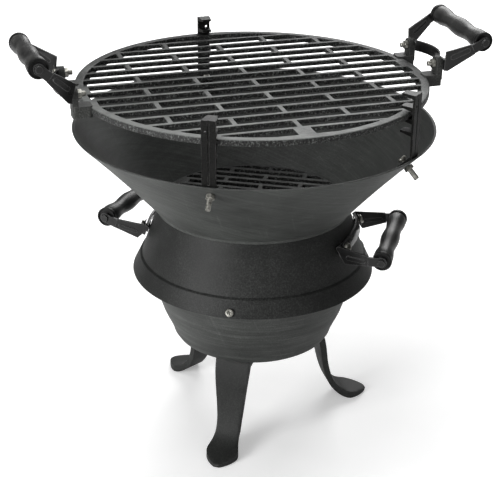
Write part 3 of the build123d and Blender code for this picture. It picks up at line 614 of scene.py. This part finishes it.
# %% Fire bowl
CASTING_CORNER = 0.9
outer_wall = flare((104.0, 244.9), (182.5, 328.8), 1.6)
inner_wall = flare((96.9, 240.4), (179.5, 328.8), 1.6)
spigot = [(92.3, 240.4), (92.3, 234.4), (94.1, 234.4), (94.1, 238.4), (100.3, 238.4), (100.3, 241.2)]
bowl_section = outer_wall + list(reversed(inner_wall)) + spigot
cone_outline = rounded(bowl_section, CASTING_CORNER)
turned_casting("fire_bowl_cone", cone_outline, CONE_IRON, "fire_bowl", "fire_bowl_unit")

# %% Collar
collar_section = [
    (98.0, 238.4),
    (94.5, 238.4),
    (110.7, 191.0),
    (110.7, 187.0),
    (114.6, 187.0),
    (122.6, 170.0),
    (126.0, 170.0),
    (117.8, 187.0),
    (115.6, 188.5),
]
turned_casting("collar_ring", rounded(collar_section, CASTING_CORNER), COLLAR_IRON, "collar", "base")

# %% Ash bowl
ASH_WALL = 3.0
outside = [
    (69.0, 92.5),
    (76.5, 94.4),
    (81.2, 97.5),
    (84.0, 101.8),
    (85.5, 107.0),
    (88.6, 114.0),
    (92.0, 121.0),
    (95.0, 128.0),
    (114.0, 187.0),
]
inside = [(radius - ASH_WALL, height + ASH_WALL * 0.5) for radius, height in outside[:-1]] + [(111.0, 187.0)]
inside[0] = (68.0, 95.5)
inside[1] = (75.0, 97.2)
ash_section = [(0, 92.5)] + outside + list(reversed(inside)) + [(0, 95.5)]
turned_casting("ash_pan", rounded(ash_section, CASTING_CORNER), ASH_IRON, "ash_bowl", "base", 0.1)
print("turned castings", sorted(REBUILT))

# %% [markdown]
# ## Grates
# Both grates are flat castings pierced in brick fashion. One flat outline with all its openings
# is filled and thickened with a round edge. The bars of the cooking grate are thin, and a deeper
# ring under its rim gives it something to rest on.

# %% Slots
SHORTEST_SLOT = 8


def slot_outline(row_y, half, start, end, radius, corner):
    """One slot between two x limits, cut off by a circle, with small corner arcs."""
    left, right = [], []
    for step in range(9):
        y = row_y - half + 2 * half * step / 8
        if abs(y) >= radius:
            continue
        edge = math.sqrt(radius**2 - y**2)
        low, high = max(start, -edge), min(end, edge)
        if high - low > 1.5:
            left.append((low, y))
            right.append((high, y))
    if len(left) < 3 or max(high[0] - low[0] for low, high in zip(left, right)) < SHORTEST_SLOT:
        return None
    return rounded([*right, *reversed(left)], corner)


def brick_slots(rows, pitch, slot, radius, corner, bridges_of):
    """Every slot of a grate, row by row; bridges_of gives a row's bridge centres and width."""
    outlines = []
    for row in range(rows):
        row_y = ((rows - 1) / 2 - row) * pitch
        centres, width = bridges_of(row)
        starts = [-radius] + [x + width / 2 for x in centres]
        ends = [x - width / 2 for x in centres] + [radius]
        for start, end in zip(starts, ends):
            if end - start > SHORTEST_SLOT:
                outlines.append(slot_outline(row_y, slot / 2, start, end, radius, corner))
    return [outline for outline in outlines if outline]


print("points in one slot", len(slot_outline(0.0, 8.0, -50.0, 50.0, 166.3, 2.0)))

# %% Pierced plates
RIM_ANGLES = [math.radians(degree) for degree in range(0, 360, 2)]


def pierced_plate(name, radius, holes, low, high, edge):
    """A bmesh of a round plate with holes, between two heights, all in mm."""
    curve = bpy.data.curves.new(name, "CURVE")
    curve.dimensions = "2D"
    curve.fill_mode = "BOTH"
    curve.extrude = ((high - low) / 2 - edge) * MM
    curve.bevel_depth = edge * MM
    curve.bevel_resolution = 2
    curve.offset = -edge * MM
    rim = [(radius * math.cos(angle), radius * math.sin(angle)) for angle in RIM_ANGLES]
    for outline in [rim, *holes]:
        spline = curve.splines.new("POLY")
        spline.points.add(len(outline) - 1)
        for point, (x, y) in zip(spline.points, outline):
            point.co = (x * MM, y * MM, 0, 1)
        spline.use_cyclic_u = True
    holder = bpy.data.objects.new(name, curve)
    scene.collection.objects.link(holder)
    filled = holder.evaluated_get(bpy.context.evaluated_depsgraph_get()).to_mesh()
    mesh = bmesh.new()
    mesh.from_mesh(filled)
    bpy.data.objects.remove(holder)
    bmesh.ops.translate(mesh, verts=mesh.verts, vec=(0, 0, (high + low) / 2 * MM))
    return mesh


print("points round a plate", len(RIM_ANGLES))

# %% Cooking grate
BRIDGE = 5.0
COOKING_ROWS = 16
COOKING_PITCH = 20.78
COOKING_SLOT = 16.0
COOKING_OPEN = 166.3
FRONT_BRIDGE = 17.0
COOKING_PLAY = (-2.2, 1.2)


def staggered(row, spacing):
    """Bridge centres in a row, half a spacing on in every second row."""
    offset = spacing / 2 if row % 2 else 0.0
    return [offset + spacing * step for step in (-2, -1, 0, 1)]


def cooking_bridges(row):
    """Bridge centres and width in a row of the cooking grate, with a broad one at the front."""
    if row == 0:
        return [], BRIDGE
    if row == COOKING_ROWS - 1:
        return [0.0], FRONT_BRIDGE
    return staggered(row, 109.0), BRIDGE


cooking_slots = brick_slots(COOKING_ROWS, COOKING_PITCH, COOKING_SLOT, COOKING_OPEN, 2.0, cooking_bridges)
cooking = pierced_plate("cooking_plate", 174.2, cooking_slots, 368.5, 372.7, 0.6)
rim_section = [(163.0, 366.5), (174.8, 366.5), (174.8, 372.5), (166.8, 372.5), (166.8, 368.9), (163.0, 368.9)]
swing(cooking, rounded(rim_section, 1.0))
finish_piece(
    "cooking_grate_bars",
    cooking,
    GRATE_IRON,
    "cooking_grate",
    "cooking_grate_unit",
    Matrix.Translation((COOKING_PLAY[0] * MM, COOKING_PLAY[1] * MM, 0)),
)
print("cooking grate slots", len(cooking_slots))

# %% Charcoal grate
CHARCOAL_ROWS = 14
CHARCOAL_PITCH = 13.5
CHARCOAL_SLOT = 8.0
CHARCOAL_OPEN = 94.0
CHARCOAL_TURN = math.radians(-30)


def charcoal_bridges(row):
    """Bridge centres and width in a row of the charcoal grate."""
    return staggered(row, 80.0), BRIDGE


charcoal_slots = brick_slots(
    CHARCOAL_ROWS, CHARCOAL_PITCH, CHARCOAL_SLOT, CHARCOAL_OPEN, 3.6, charcoal_bridges
)
finish_piece(
    "charcoal_grate_disc",
    pierced_plate("charcoal_plate", 96.0, charcoal_slots, 240.4, 244.4, 0.7),
    GRATE_IRON,
    "charcoal_grate",
    "charcoal_grate_unit",
    Matrix.Rotation(CHARCOAL_TURN, 4, "Z"),
)
print("charcoal grate slots", len(charcoal_slots))

# %% [markdown]
# ## Pieces that keep their CAD shape
# A pressed bracket or a nut has the right shape already, but its edges are knife sharp. A weld
# and a bevel modifier round them without touching the mesh itself.

# %% Round the edges of a CAD node
SHARP = math.radians(32)
LUG_EDGE = 2.2 * MM


def soften(node, width, material):
    """Gives a CAD node its finish and rounded edges."""
    piece = frame["nodes"][node]
    piece.data.materials.clear()
    piece.data.materials.append(material)
    weld = piece.modifiers.new("weld", "WELD")
    weld.merge_threshold = 1e-5
    bevel = piece.modifiers.new("round_edges", "BEVEL")
    bevel.width = width
    bevel.segments = 2
    bevel.limit_method = "ANGLE"
    bevel.angle_limit = SHARP
    bevel.harden_normals = True


FINISHES = {
    "zinc_plated_steel": (ZINC_PLATE, 0.25 * MM),
    "black_bracket_steel": (BRACKET_STEEL, 0.45 * MM),
    "black_lacquered_wood": (LACQUERED_WOOD, 0.5 * MM),
    "black_cap_plastic": (CAP_PLASTIC, 0.4 * MM),
    "black_washer_steel": (BRACKET_STEEL, 0.25 * MM),
    "black_painted_cast_iron": (PAINTED_IRON, 0.5 * MM),
    "grey_cast_iron": (LEG_IRON, 1.2 * MM),
}
slots = {part["node"]: part["material_slot"] for part in frame["record"]["subparts"]}
kept = sorted(set(slots) - set(REBUILT))
for node in kept:
    finish, width = FINISHES[slots[node]]
    if node == "grate_handle_lugs":
        finish, width = LUG_IRON, LUG_EDGE
    soften(node, width, finish)
print("CAD nodes dressed", len(kept))

# %% [markdown]
# ## Sizes
# The visual pieces have to stay inside the box of the packed model, because collision and looks
# share one frame.
